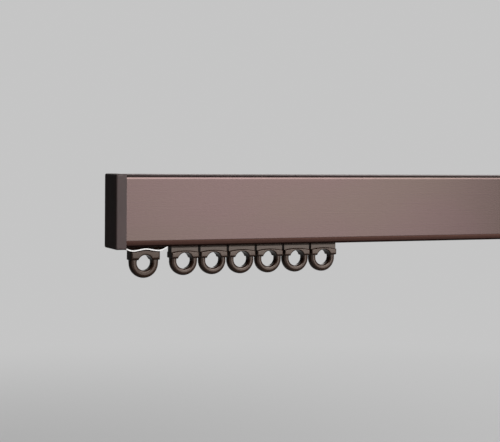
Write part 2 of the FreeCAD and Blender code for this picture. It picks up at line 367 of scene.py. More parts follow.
def polish(piece: Piece, crease: float = 32.0) -> None:
    """Cleans a finished mesh and shades it smooth up to a crease angle, with flats kept flat.

    Args:
        piece: the object.
        crease: the angle in degrees past which an edge stays sharp.
    """
    merge_m = 1e-7
    bm = bmesh.new()
    bm.from_mesh(piece.data)
    bmesh.ops.remove_doubles(bm, verts=bm.verts[:], dist=merge_m)
    bmesh.ops.dissolve_degenerate(bm, dist=merge_m, edges=bm.edges[:])
    for face in bm.faces:
        face.smooth = True
    for edge in bm.edges:
        edge.smooth = len(edge.link_faces) == 2 and edge.calc_face_angle(0) < math.radians(crease)
    bm.to_mesh(piece.data)
    bm.free()
    keep_flats(piece)


def keep_flats(piece: Piece) -> None:
    """Shades a piece's flats flat where they meet its roundings."""
    piece.modifiers.new("flat_faces_first", "WEIGHTED_NORMAL").keep_sharp = True


def mirror(piece: Piece) -> None:
    """Turns a left piece into the right one, as its mirror image across X.

    Args:
        piece: the object.
    """
    bm = bmesh.new()
    bm.from_mesh(piece.data)
    bmesh.ops.scale(bm, vec=(-1, 1, 1), verts=bm.verts[:])
    bmesh.ops.reverse_faces(bm, faces=bm.faces[:])
    bm.to_mesh(piece.data)
    bm.free()


def place(piece: Piece, body: str, slot: Slot, material: Material, *nodes: str) -> None:
    """Gives a finished piece its material and its body, and hides the CAD nodes that it stands for.

    Args:
        piece: the object.
        body: the CAD body that it rides on.
        slot: not used.
        material: the material.
        nodes: the CAD nodes that it stands for.
    """
    piece.data.materials.clear()
    piece.data.materials.append(material)
    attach(piece, body)
    if nodes:
        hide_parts(*nodes)
    log.info("%s: %d faces on %s", piece.name, len(piece.data.polygons), body)


class Graph:
    """Adds nodes to one node tree and joins them."""

    def __init__(self, tree: Tree) -> None:
        """Empties the tree first."""
        self.tree = tree
        tree.nodes.clear()

    def add(self, kind: str, inputs: dict[str | int, object] | None = None, **settings: object) -> Node:
        """Adds a node.

        Args:
            kind: the node's type.
            inputs: for each input's name or number, a socket to join it to or a value.
            settings: the node's own properties.

        Returns:
            The node.
        """
        node = self.tree.nodes.new(kind)
        for name, value in settings.items():
            setattr(node, name, value)
        for key, value in (inputs or {}).items():
            if isinstance(value, Socket):
                self.tree.links.new(value, node.inputs[key])
            else:
                node.inputs[key].default_value = value
        return node

    def effect(self, group: Tree, values: dict[str, float]) -> Socket:
        """Places a group with these values and returns what it puts out."""
        return self.add("ShaderNodeGroup", node_tree=group, inputs=values).outputs[0]

    def math(self, operation: str, *values: object, clamp: bool = False) -> Socket:
        """Adds a Math node and returns its result."""
        inputs = dict(enumerate(values))
        return self.add("ShaderNodeMath", inputs, operation=operation, use_clamp=clamp).outputs[0]

    def mix(self, factor: Socket, a: object, b: object, kind: str = "FLOAT") -> Socket:
        """Adds a Mix node for numbers, or for colours where kind is RGBA, and returns its result."""
        return self.add("ShaderNodeMix", {"Factor": factor, "A": a, "B": b}, data_type=kind).outputs["Result"]

    def pattern(self, stretch: tuple[object, object, object], scale: object, detail: float,
                roughness: float) -> Socket:
        """Adds a noise on the object's own coordinates.

        Args:
            stretch: how many times the coordinates are stretched along x, y and z.
            scale: the noise's scale.
            detail: the noise's detail.
            roughness: the noise's roughness.

        Returns:
            The noise's value.
        """
        coordinates = self.add("ShaderNodeTexCoord").outputs["Object"]
        sizes = self.add("ShaderNodeCombineXYZ", dict(zip("XYZ", stretch))).outputs["Vector"]
        place = self.add("ShaderNodeMapping", {"Vector": coordinates, "Scale": sizes}).outputs["Vector"]
        return self.add("ShaderNodeTexNoise", {"Vector": place, "Scale": scale, "Detail": detail,
                                               "Roughness": roughness}).outputs["Fac"]

    def map_range(self, value: Socket, low: float, high: float, to_low: float, to_high: float) -> Socket:
        """Adds a smooth, clamped Map Range node and returns its result."""
        inputs = {"Value": value, "From Min": low, "From Max": high, "To Min": to_low, "To Max": to_high}
        return self.add("ShaderNodeMapRange", inputs, interpolation_type="SMOOTHSTEP").outputs["Result"]


def new_group(name: str, inputs: dict[str, float], output: str) -> tuple[Graph, bpy.types.NodeOutputs]:
    """Makes a shader node group with its sockets.

    Args:
        name: the group's name.
        inputs: each number input's name and default.
        output: the name of the number that it puts out.

    Returns:
        The group's graph and what its Group Input node gives.
    """
    tree = bpy.data.node_groups.new(name, "ShaderNodeTree")
    for label, default in inputs.items():
        socket = tree.interface.new_socket(name=label, in_out="INPUT", socket_type="NodeSocketFloat")
        socket.default_value = default
    tree.interface.new_socket(name=output, in_out="OUTPUT", socket_type="NodeSocketFloat")
    graph = Graph(tree)
    return graph, graph.add("NodeGroupInput").outputs


@dataclass(frozen=True)
class Effects:
    """The surface effects that several finishes share, each built once as a node group."""

    drawn_lines: Tree
    grain: Tree
    drift: Tree
    below: Tree

    @classmethod
    def build(cls) -> "Effects":
        """Builds the four groups."""
        return cls(cls.build_drawn_lines(), cls.build_grain(), cls.build_drift(), cls.build_below())

    @staticmethod
    def build_drawn_lines() -> Tree:
        """Fine lines along X, as drawing or extruding metal leaves them.

        Returns:
            The group, which puts out a height.
        """
        graph, given = new_group("drawn_lines", {"Lines per metre": 4000.0, "Run": 6.0}, "Height")
        across = given["Lines per metre"]
        noise = graph.pattern((given["Run"], across, across), scale=1.0, detail=3.0, roughness=0.6)
        graph.add("NodeGroupOutput", {"Height": noise})
        return graph.tree

    @staticmethod
    def build_grain() -> Tree:
        """The fine even grain of a moulded surface.

        Returns:
            The group, which puts out a height.
        """
        graph, given = new_group("mould_grain", {"Grains per metre": 5000.0}, "Height")
        noise = graph.pattern((1.0, 1.0, 1.0), given["Grains per metre"], detail=2.0, roughness=0.5)
        graph.add("NodeGroupOutput", {"Height": noise})
        return graph.tree

    @staticmethod
    def build_drift() -> Tree:
        """A slow, weak drift of tone over a surface, from 0 to 1.

        Returns:
            The group, which puts out a mask.
        """
        graph, given = new_group("tone_drift", {"Patches per metre": 30.0, "Run": 0.4}, "Mask")
        noise = graph.pattern((given["Run"], 1.0, 1.0), given["Patches per metre"], detail=2.0,
                              roughness=0.45)
        graph.add("NodeGroupOutput", {"Mask": graph.map_range(noise, *NOISE_RANGE, 0.0, 1.0)})
        return graph.tree

    @staticmethod
    def build_below() -> Tree:
        """A mask that is 1 below a level and in front of a limit, and 0 elsewhere.

        Returns:
            The group, which puts out the mask.
        """
        graph, given = new_group("below_level", {"Level": 0.0, "Blend": 0.0004, "Furthest back": 1.0}, "Mask")
        coordinates = graph.add("ShaderNodeTexCoord").outputs["Object"]
        place = graph.add("ShaderNodeSeparateXYZ", {"Vector": coordinates}).outputs
        depth = graph.math("SUBTRACT", given["Level"], place["Z"])
        below = graph.math("DIVIDE", depth, given["Blend"], clamp=True)
        front = graph.math("LESS_THAN", place["Y"], given["Furthest back"])
        graph.add("NodeGroupOutput", {"Mask": graph.math("MULTIPLY", below, front)})
        return graph.tree


@dataclass(frozen=True)
class Finish:
    """A surface finish: two close tones, a roughness range and a fine relief.

    Each foot gives a level and the tone that takes over below it, as far back as the feet reach; on the rail
    these
    are painted shade and reflection: the lip's redder tone and a painted dark shadow line along its foot. A
    finish with an upper roughness changes to that and to the upper specular level above the upper level; on
    the stop that level is lowered to paint shade on the block. Levels, the feet's reach and the relief's
    depth are in metres.
    """

    name: str
    tone: Colour
    second_tone: Colour
    roughness: Span
    metallic: float = 0.0
    patches_per_metre: float = 30.0
    lines_per_metre: float = 0.0
    line_run: float = 6.0
    grains_per_metre: float = 0.0
    relief: float = 0.1
    relief_depth: float = 0.00001
    specular: float = 0.5
    specular_tint: Colour = (1.0, 1.0, 1.0)
    index: float = 1.5
    painted_shade_feet: tuple[tuple[float, Colour], ...] = ()
    painted_shade_reach: float = 1.0
    upper_roughness: float = 0.0
    shaded_upper_specular: float = 1.0
    upper_level: float = 0.0

    def build(self, effects: Effects) -> Material:
        """Builds the material.

        Args:
            effects: the shared node groups.

        Returns:
            The material.
        """
        material = bpy.data.materials.new(self.name)
        material.use_nodes = True
        graph = Graph(material.node_tree)
        drift = graph.effect(effects.drift, {"Patches per metre": self.patches_per_metre})
        colour = graph.mix(drift, (*self.tone, 1.0), (*self.second_tone, 1.0), "RGBA")
        # painted shade: each foot paints its tone below a level, standing in for shade and reflection on the
        # rail's lip
        for level, tone in self.painted_shade_feet:
            below = graph.effect(effects.below, {"Level": level, "Furthest back": self.painted_shade_reach})
            colour = graph.mix(below, colour, (*tone, 1.0), "RGBA")
        if self.lines_per_metre:
            lines = {"Lines per metre": self.lines_per_metre, "Run": self.line_run}
            height = graph.effect(effects.drawn_lines, lines)
        else:
            height = graph.effect(effects.grain, {"Grains per metre": self.grains_per_metre})
        roughness = graph.map_range(height, *NOISE_RANGE, *self.roughness)
        specular = self.specular
        if self.upper_roughness:
            below = graph.effect(effects.below, {"Level": self.upper_level})
            roughness = graph.mix(below, self.upper_roughness, roughness)
            # painted shade: a lowered upper specular level darkens what lies above the upper level, as if
            # shaded
            specular = graph.mix(below, self.shaded_upper_specular, specular)
        bump = graph.add("ShaderNodeBump", {"Strength": self.relief, "Distance": self.relief_depth,
                                            "Height": height})
        shader = graph.add("ShaderNodeBsdfPrincipled", {
            "Base Color": colour,
            "Metallic": self.metallic,
            "Roughness": roughness,
            "IOR": self.index,
            "Specular IOR Level": specular,
            "Specular Tint": (*self.specular_tint, 1.0),
            "Normal": bump.outputs["Normal"],
        })
        graph.add("ShaderNodeOutputMaterial", {"Surface": shader.outputs["BSDF"]})
        return material


@dataclass(frozen=True)
class Palette:
    """The track's finishes as materials. The stops' plastic is the runners', with its block darkened by a
    much lower specular level: painted shade under the rail's lip.
    """

    materials: dict[Slot, Material]
    stop: Material

    @classmethod
    def build(cls) -> "Palette":
        """Builds every finish once.

        Returns:
            The palette.
        """
        effects = Effects.build()
        finishes = {
            Slot.RAIL: Finish(
                "bronze_anodised_aluminium", (0.238, 0.163, 0.158), (0.233, 0.170, 0.153), (0.265, 0.275),
                metallic=1.0, lines_per_metre=5200, line_run=5.0, relief=0.02, relief_depth=0.000008,
                patches_per_metre=34, painted_shade_reach=-0.002,
                # painted shade: the lip's redder tone below -29.9 mm stands in for its downward reflection,
                # and a painted dark shadow line runs along the lip's foot below -31.9 mm
                painted_shade_feet=((-0.0299, (0.405, 0.205, 0.165)), (-0.0319, (0.070, 0.030, 0.024)))),
            Slot.CAP: Finish(
                "matte_cap_plastic", (0.078, 0.054, 0.052), (0.071, 0.051, 0.049), (0.50, 0.60),
                grains_per_metre=6500, relief=0.35, relief_depth=0.00002, patches_per_metre=60),
            Slot.RUNNER: Finish(
                "dark_runner_plastic", (0.020, 0.007, 0.003), (0.017, 0.006, 0.003), (0.16, 0.21),
                grains_per_metre=4200, relief=0.12, patches_per_metre=160, specular=1.0,
                specular_tint=(1.0, 0.84, 0.74), index=1.6, upper_roughness=0.6, upper_level=-0.0338),
            Slot.ROLLER: Finish(
                "natural_roller_plastic", (0.55, 0.54, 0.50), (0.50, 0.49, 0.45), (0.38, 0.46),
                grains_per_metre=4200, patches_per_metre=200),
            Slot.SPRING: Finish(
                "bright_spring_steel", (0.86, 0.84, 0.82), (0.78, 0.77, 0.76), (0.20, 0.28),
                metallic=1.0, lines_per_metre=6000, line_run=40.0, patches_per_metre=150),
            Slot.AXLE: Finish(
                "ground_axle_steel", (0.62, 0.62, 0.62), (0.56, 0.56, 0.57), (0.24, 0.34),
                metallic=1.0, grains_per_metre=9000, patches_per_metre=300),
        }
        # painted shade: the stop's block above the spring gets a much lower specular level, so it renders
        # dark as if shaded by the rail's lip
        stop = replace(finishes[Slot.RUNNER], name="dark_stop_plastic", specular=0.78, shaded_upper_specular=0.12,
                       upper_level=-0.0347)
        return cls({slot: finish.build(effects) for slot, finish in finishes.items()}, stop.build(effects))


@dataclass
class Rail:
    """The aluminium extrusion: bracket channel on top, closed chamber, runner channel with its slot below."""

    low: Vector
    high: Vector
    side_wall: float = 1.5
    top_flange: float = 1.4
    bottom_flange: float = 1.6
    web: float = 1.2
    bracket_channel_height: float = 5.0
    runner_channel_roof: float = -20.4
    bracket_slot: float = 8.0
    runner_slot: float = 6.0
    nose_radius: float = 2.4
    back_radius: float = 0.6
    channel_radius: float = 0.5
    lip_height: float = 3.0
    lip_step: float = 0.45
    lip_lean: float = 1.25
    lip_bulge: float = 0.22
    edge_break: float = 0.12
    lip_foot_radius: float = 0.6

    @classmethod
    def from_frame(cls) -> "Rail":
        """Takes the rail's outer sizes from the CAD node."""
        return cls(*box_mm("rail"))

    def openings(self) -> list[tuple[float, float, float, float]]:
        """The section's hollows as (low y, high y, low z, high z).

        Returns:
            Bracket channel, its slot, chamber, runner channel and its slot.
        """
        inner = self.high.y - self.side_wall
        channel_floor = -self.top_flange - self.bracket_channel_height
        return [
            (-inner, inner, channel_floor, -self.top_flange),
            (-self.bracket_slot / 2, self.bracket_slot / 2, -self.top_flange, self.high.z),
            (-inner, inner, self.runner_channel_roof + self.web, channel_floor - self.web),
            (-inner, inner, self.low.z + self.bottom_flange, self.runner_channel_roof),
            (-self.runner_slot / 2, self.runner_slot / 2, self.low.z, self.low.z + self.bottom_flange),
        ]

    @property
    def lip_top(self) -> float:
        """The level where the lip starts."""
        return self.low.z + self.lip_height

    @property
    def lip_start(self) -> float:
        """Where the lip's leaning face starts, across the rail."""
        return self.low.y + self.lip_step

    def score_section(self, draft: Draft) -> None:
        """Scores the section's rectangle along its hollows and its lip, and deletes what is open.

        Args:
            draft: the section as one flat rectangle.
        """
        lip_top, lip_start = self.lip_top, self.lip_start
        levels = {lip_top}
        sides = set()
        for low_y, high_y, low_z, high_z in self.openings():
            sides.update((low_y, high_y))
            levels.update((low_z, high_z))
        for y in sorted(sides):
            draft.score((0, y, 0), (0, 1, 0))
        for z in sorted(levels):
            draft.score((0, 0, z), (0, 0, 1))
        corner = [face for face in draft.bm.faces if face.calc_center_median().z < lip_top
                  and face.calc_center_median().y < -self.runner_slot / 2]
        lean = Vector((0, -self.lip_height, -self.lip_lean))
        draft.score((0, lip_start, lip_top), lean, corner)
        draft.drop_faces(lambda c: c.z < lip_top and (c - Vector((c.x, lip_start, lip_top))).dot(lean) > 0)
        for low_y, high_y, low_z, high_z in self.openings():
            draft.drop_faces(lambda c: low_y < c.y < high_y and low_z < c.z < high_z)

    def bulge_lip(self, draft: Draft) -> None:
        """Bows the lip's leaning face outwards a little.

        Args:
            draft: the rail's solid.
        """
        steps = 5
        for step in range(1, steps):
            level = self.lip_top - self.lip_height * step / steps
            front = [face for face in draft.bm.faces
                     if face.calc_center_median().y < self.lip_start + self.lip_lean
                     and self.low.z < face.calc_center_median().z < self.lip_top and abs(face.normal.x) < 0.5]
            draft.score((0, 0, level), (0, 0, 1), front)
        for vert in draft.bm.verts:
            share = (self.lip_top - vert.co.z) / self.lip_height
            on_lip = abs(vert.co.y - (self.lip_start + self.lip_lean * share)) < TOUCH
            if on_lip and 0 < share < 1:
                vert.co.y -= self.lip_bulge * (1 - (2 * share - 1) ** 2)

    def build(self) -> Piece:
        """Builds the rail's mesh.

        Returns:
            The rail as an object.
        """
        draft = Draft()
        draft.rectangle_across(self.low.x, self.low.y, self.high.y, self.low.z, self.high.z)
        self.score_section(draft)
        draft.extrude_all((self.high.x - self.low.x, 0, 0))
        draft.merge_flats()
        self.bulge_lip(draft)
        front, back, top, foot = self.low.y, self.high.y, self.high.z, self.low.z
        inner = back - self.side_wall
        in_hollows = draft.edges(lambda a, b: abs(a.x - b.x) > TOUCH and abs(abs(a.y) - inner) < TOUCH
                                 and abs(abs(b.y) - inner) < TOUCH, bend=60)
        draft.round_edges(in_hollows, self.channel_radius, segments=3)
        draft.round_edges(draft.edges_along("x", y=front, z=top), self.nose_radius, segments=14)
        draft.round_edges([*draft.edges_along("x", y=back, z=top), *draft.edges_along("x", y=back, z=foot)],
                          self.back_radius, segments=5)
        draft.round_edges(draft.edges_along("x", y=front, z=self.lip_top), self.edge_break, segments=3)
        lip_foot = draft.edges_along("x", y=self.lip_start + self.lip_lean, z=foot)
        draft.round_edges(lip_foot, self.lip_foot_radius, segments=5)
        return draft.write("rail_extrusion")

    def make(self, palette: Palette) -> None:
        """Builds, shades and places the rail.

        Args:
            palette: the finishes.
        """
        piece = self.build()
        polish(piece)
        place(piece, "track", Slot.RAIL, palette.materials[Slot.RAIL], "rail")


@dataclass
class EndCap:
    """A moulded cap: a plate over the rail's cut end and a hollow plug in its chamber."""

    end: End
    rail: Rail
    edge_radius: float = 0.8
    plug_wall: float = 1.4
    plug_floor: float = 0.2
    plug_clearance: float = 0.25
    plate_thickness: float = 5.0

    def plug(self, start: float, tip: float) -> Piece:
        """The hollow plug that grips the rail's chamber, with its core cut out from the tip.

        Args:
            start: where the plug leaves the plate.
            tip: where it ends in the rail.

        Returns:
            The plug as an object.
        """
        _, _, chamber, _, _ = self.rail.openings()
        low_y, high_y, low_z, high_z = chamber
        gap = self.plug_clearance
        wall = gap + self.plug_wall
        outer = Draft()
        outer.block((start - PAST, low_y + gap, low_z + gap), (tip, high_y - gap, high_z - gap))
        outer.round_edges(outer.edges_along("x"), self.rail.channel_radius, segments=4)
        plug = outer.write("cap_plug")
        core = Draft()
        core.block((start + self.plug_floor, low_y + wall, low_z + wall),
                   (tip + PAST, high_y - wall, high_z - wall))
        join(plug, core.write("cap_core"), Join.CUT)
        return plug

    def build(self) -> Piece:
        """Builds the cap's mesh at the left end and mirrors it for the right one.

        Returns:
            The cap as an object.
        """
        low, high = box_mm("end_cap_left")
        inner = low.x + self.plate_thickness
        plate = Draft()
        plate.block(low, (inner, high.y, high.z))
        outer_edges = plate.edges(lambda a, b: min(a.x, b.x) < inner - TOUCH)
        plate.round_edges(outer_edges, self.edge_radius, segments=5)
        cap = plate.write(f"end_cap_{self.end.label}_moulding")
        join(cap, self.plug(inner, high.x), Join.ADD)
        if self.end is End.RIGHT:
            mirror(cap)
        return cap

    def make(self, palette: Palette) -> None:
        """Builds, shades and places the cap.

        Args:
            palette: the finishes.
        """
        piece = self.build()
        polish(piece)
        place(piece, "track", Slot.CAP, palette.materials[Slot.CAP], f"end_cap_{self.end.label}")


@dataclass(frozen=True)
class Eye:
    """A ring eye: its hole, flared to both sides, and its rounded outer body."""

    hole_radius: float
    outer_radius: float
    hole_level: float
    outer_level: float
    thickness: float = 4.4
    inner_round: float = 1.1
    saddle_round: float = 0.5
    outer_round: float = 1.4
    round_steps: int = 7
    turn_steps: int = 96

    def quarter(self, centre: tuple[float, float], radius: float, start: float) -> list[tuple[float, float]]:
        """A quarter round as (radius, y) pairs, from start degrees on by 90.

        Args:
            centre: the round's centre, as such a pair.
            radius: its own radius.
            start: the angle in degrees where it starts.

        Returns:
            The pairs in order.
        """
        return [(centre[0] + radius * math.cos(math.radians(start + 90 * step / self.round_steps)),
                 centre[1] + radius * math.sin(math.radians(start + 90 * step / self.round_steps)))
                for step in range(self.round_steps + 1)]

    def body(self, x: float, top: float, half_top: float) -> Piece:
        """The outer body: straight flanks that close in on a round bottom, with rounded rims.

        Args:
            x: the eye's place along the rail.
            top: the level of its flat top, which lies inside the saddle.
            half_top: half of the top's length.

        Returns:
            The body as an object.
        """
        half = self.thickness / 2
        draft = Draft()
        for y in (-half, half):
            turn = Matrix.Translation((x, y, self.outer_level)) @ Matrix.Rotation(math.pi / 2, 4, "X")
            bmesh.ops.create_circle(draft.bm, cap_ends=False, segments=self.turn_steps,
                                    radius=self.outer_radius, matrix=turn)
            for side in (-1, 1):
                draft.bm.verts.new((x + side * half_top, y, top))
        hull = bmesh.ops.convex_hull(draft.bm, input=draft.bm.verts[:])
        loose = [item for item in hull["geom_interior"] + hull["geom_unused"]
                 if isinstance(item, bmesh.types.BMVert) and item.is_valid]
        bmesh.ops.delete(draft.bm, geom=loose, context="VERTS")
        bmesh.ops.recalc_face_normals(draft.bm, faces=draft.bm.faces[:])
        draft.merge_flats()
        rims = draft.edges(lambda a, b: abs(abs(a.y) - half) < TOUCH and abs(a.y - b.y) < TOUCH
                           and (a.z + b.z) / 2 < top - TOUCH, bend=30)
        draft.round_edges(rims, self.outer_round, segments=6)
        return draft.write("eye_body")

    def bore(self, x: float, width: float, flare: float) -> Piece:
        """The hole's space through a form over the eye, flared to both sides.

        Args:
            x: the eye's place along the rail.
            width: the form's width across the rail.
            flare: the radius of the rounding at both ends.

        Returns:
            The space as an object, to be cut away.
        """
        half = width / 2
        wide = self.hole_radius + flare
        front = [(2 * wide - radius, y) for radius, y in self.quarter((wide, flare - half), flare, -90)]
        back = [(radius, -y) for radius, y in reversed(front)]
        draft = Draft()
        end = half + PAST
        draft.spin_outline([(0, -end), (wide, -end), *front, *back, (wide, end), (0, end)],
                           Vector((x, 0, self.hole_level)), self.turn_steps)
        return draft.write("eye_bore")

    def ring(self, x: float, top: float, half_top: float) -> Piece:
        """The outer body with its flared hole.

        Args:
            x: the eye's place along the rail.
            top: the level of its flat top.
            half_top: half of the top's length.

        Returns:
            The ring as an object.
        """
        ring = self.body(x, top, half_top)
        join(ring, self.bore(x, self.thickness, self.inner_round), Join.CUT)
        return ring


@dataclass
class RunnerBody:
    """One moulded runner: carriage in the rail, neck through the slot, saddle and ring eye below."""

    rail_bottom: float = -33.0
    eye: Eye = Eye(hole_radius=3.8, outer_radius=6.7, hole_level=-40.15, outer_level=-40.4, outer_round=1.6)
    band: Band = Band(length=13.6, width=7.0, top_edge=0.7, foot_edge=1.0, end_edge=0.7, columns=20)
    end_drop: float = 3.2
    crown_drop: float = 2.4
    foot_drop: float = 6.1
    lobe_radius: float = 0.8
    ring_root: float = 1.7
    neck_width: float = 4.6
    carriage_length: float = 14.2
    carriage_width: float = 6.4
    carriage_floor: float = -31.15
    carriage_roof: float = -20.9
    carriage_shoulder: float = 3.4
    carriage_foot_round: float = 0.8
    axle_level: float = -26.5
    axle_bore: float = 1.05
    edge_break: float = 0.2

    def saddle(self) -> Piece:
        """The bowed band over the eye, with round lobes at its ends.

        Returns:
            The saddle as an object.
        """
        half = self.band.length / 2
        side = self.band.width / 2 + PAST
        crown = self.rail_bottom - self.crown_drop
        foot = self.rail_bottom - self.foot_drop
        sagitta = self.end_drop - self.crown_drop
        bow = (half ** 2 + sagitta ** 2) / (2 * sagitta)
        saddle = self.band.lay("saddle", 0, foot, crown, lambda x: math.sqrt(bow ** 2 - x ** 2) - bow)
        lobes = Draft()
        lobes.block((-half, -side, foot), (half, side, crown + PAST))
        lobes.round_edges(lobes.edges_along("y", z=foot), self.lobe_radius, segments=8)
        join(saddle, lobes.write("saddle_lobes"), Join.COMMON)
        self.band.round_ends(saddle, 0, foot, crown)
        return saddle

    def neck(self) -> Piece:
        """The neck that goes up through the rail's slot.

        Returns:
            The neck as an object.
        """
        half, side = self.band.inner_half, self.neck_width / 2
        draft = Draft()
        draft.block((-half, -side, self.rail_bottom - self.end_drop - self.lobe_radius),
                    (half, side, self.carriage_floor + self.carriage_foot_round))
        draft.round_edges(draft.edges_along("z"), self.edge_break, segments=3)
        return draft.write("neck")

    def carriage(self) -> Piece:
        """The block inside the rail that carries the rollers.

        Returns:
            The carriage as an object.
        """
        half, side = self.carriage_length / 2, self.carriage_width / 2
        draft = Draft()
        draft.block((-half, -side, self.carriage_floor), (half, side, self.carriage_roof))
        draft.round_edges(draft.edges_along("y", z=self.carriage_roof), self.carriage_shoulder, segments=10)
        draft.round_edges(draft.edges_along("y", z=self.carriage_floor), self.carriage_foot_round, segments=4)
        return draft.write("carriage")

    def bore(self) -> Piece:
        """The axle's bore.

        Returns:
            Its space as an object, to be cut away.
        """
        draft = Draft()
        turn = Matrix.Translation((0, 0, self.axle_level)) @ Matrix.Rotation(math.pi / 2, 4, "X")
        bmesh.ops.create_cone(draft.bm, cap_ends=True, segments=48, radius1=self.axle_bore,
                              radius2=self.axle_bore, depth=self.carriage_width + 2 * PAST, matrix=turn)
        return draft.write("bore")

    def build(self) -> Piece:
        """Joins the runner's forms into one moulding at x 0.

        Returns:
            The moulding as an object.
        """
        body = self.carriage()
        join(body, self.bore(), Join.CUT)
        join(body, self.neck(), Join.ADD)
        join(body, self.saddle(), Join.ADD)
        eye_top = self.rail_bottom - self.foot_drop + self.ring_root
        join(body, self.eye.ring(0, eye_top, self.eye.outer_radius), Join.ADD)
        join(body, self.eye.bore(0, self.band.width, self.eye.saddle_round), Join.CUT)
        polish(body)
        return body


@dataclass
class RunnerRow:
    """The row of runners, pushed together at the left end, with their rollers and axles."""

    count: int = 6
    body: RunnerBody = field(default_factory=RunnerBody)

    def make(self, palette: Palette) -> None:
        """Builds one moulding, copies it to each runner's place and dresses the rollers and axles.

        Args:
            palette: the finishes.
        """
        master = self.body.build()
        for number in range(1, self.count + 1):
            node = f"runner_{number}_body"
            low, high = box_mm(node)
            piece = add_object(f"runner_{number}_moulding", master.data.copy())
            piece.data.transform(Matrix.Translation(((low.x + high.x) / 2 * MM, 0, 0)))
            keep_flats(piece)
            place(piece, f"runner_{number}", Slot.RUNNER, palette.materials[Slot.RUNNER], node)
            dress_node(f"runner_{number}_axle", palette.materials[Slot.AXLE])
            for side in ("front", "rear"):
                dress_node(f"runner_{number}_roller_{side}", palette.materials[Slot.ROLLER])
        discard(master)


def dress_node(node: str, material: Material) -> None:
    """Gives a CAD node that stays in view its material.

    Args:
        node: the node's name.
        material: the material.
    """
    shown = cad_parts[node]
    if not shown.material_slots:
        shown.data.materials.append(material)
    for material_slot in shown.material_slots:
        material_slot.material = material


